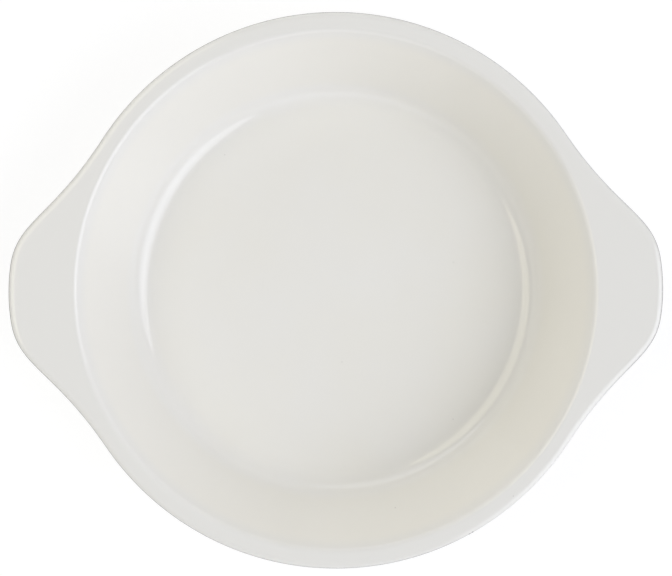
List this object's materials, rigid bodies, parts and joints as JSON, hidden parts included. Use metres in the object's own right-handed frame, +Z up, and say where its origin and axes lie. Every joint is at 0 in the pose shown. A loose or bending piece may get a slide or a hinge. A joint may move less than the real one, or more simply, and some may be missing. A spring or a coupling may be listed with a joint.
{
  "type": "cast iron gratin dish",
  "caption": "Round shallow enamelled cast iron gratin dish with a leaning wall and a flat rim that runs out into lugs, for baking and carrying food.",
  "frame": {"origin": "on the table, under the middle of the dish", "axes": "+X out through a lug, +Y across the lugs, +Z up out of the bowl"},
  "size_m": [0.3166, 0.2692, 0.05],
  "materials": {
    "cast_iron": "matte",
    "ivory_enamel": "gloss",
    "ground_coat": "satin"
  },
  "bodies": {
    "root": {"iron_casting": "cast_iron", "interior_enamel": "ivory_enamel", "rim_edge_ground_coat": "ground_coat", "exterior_enamel": "ivory_enamel", "base_enamel": "ivory_enamel"}
  },
  "joints": []
}
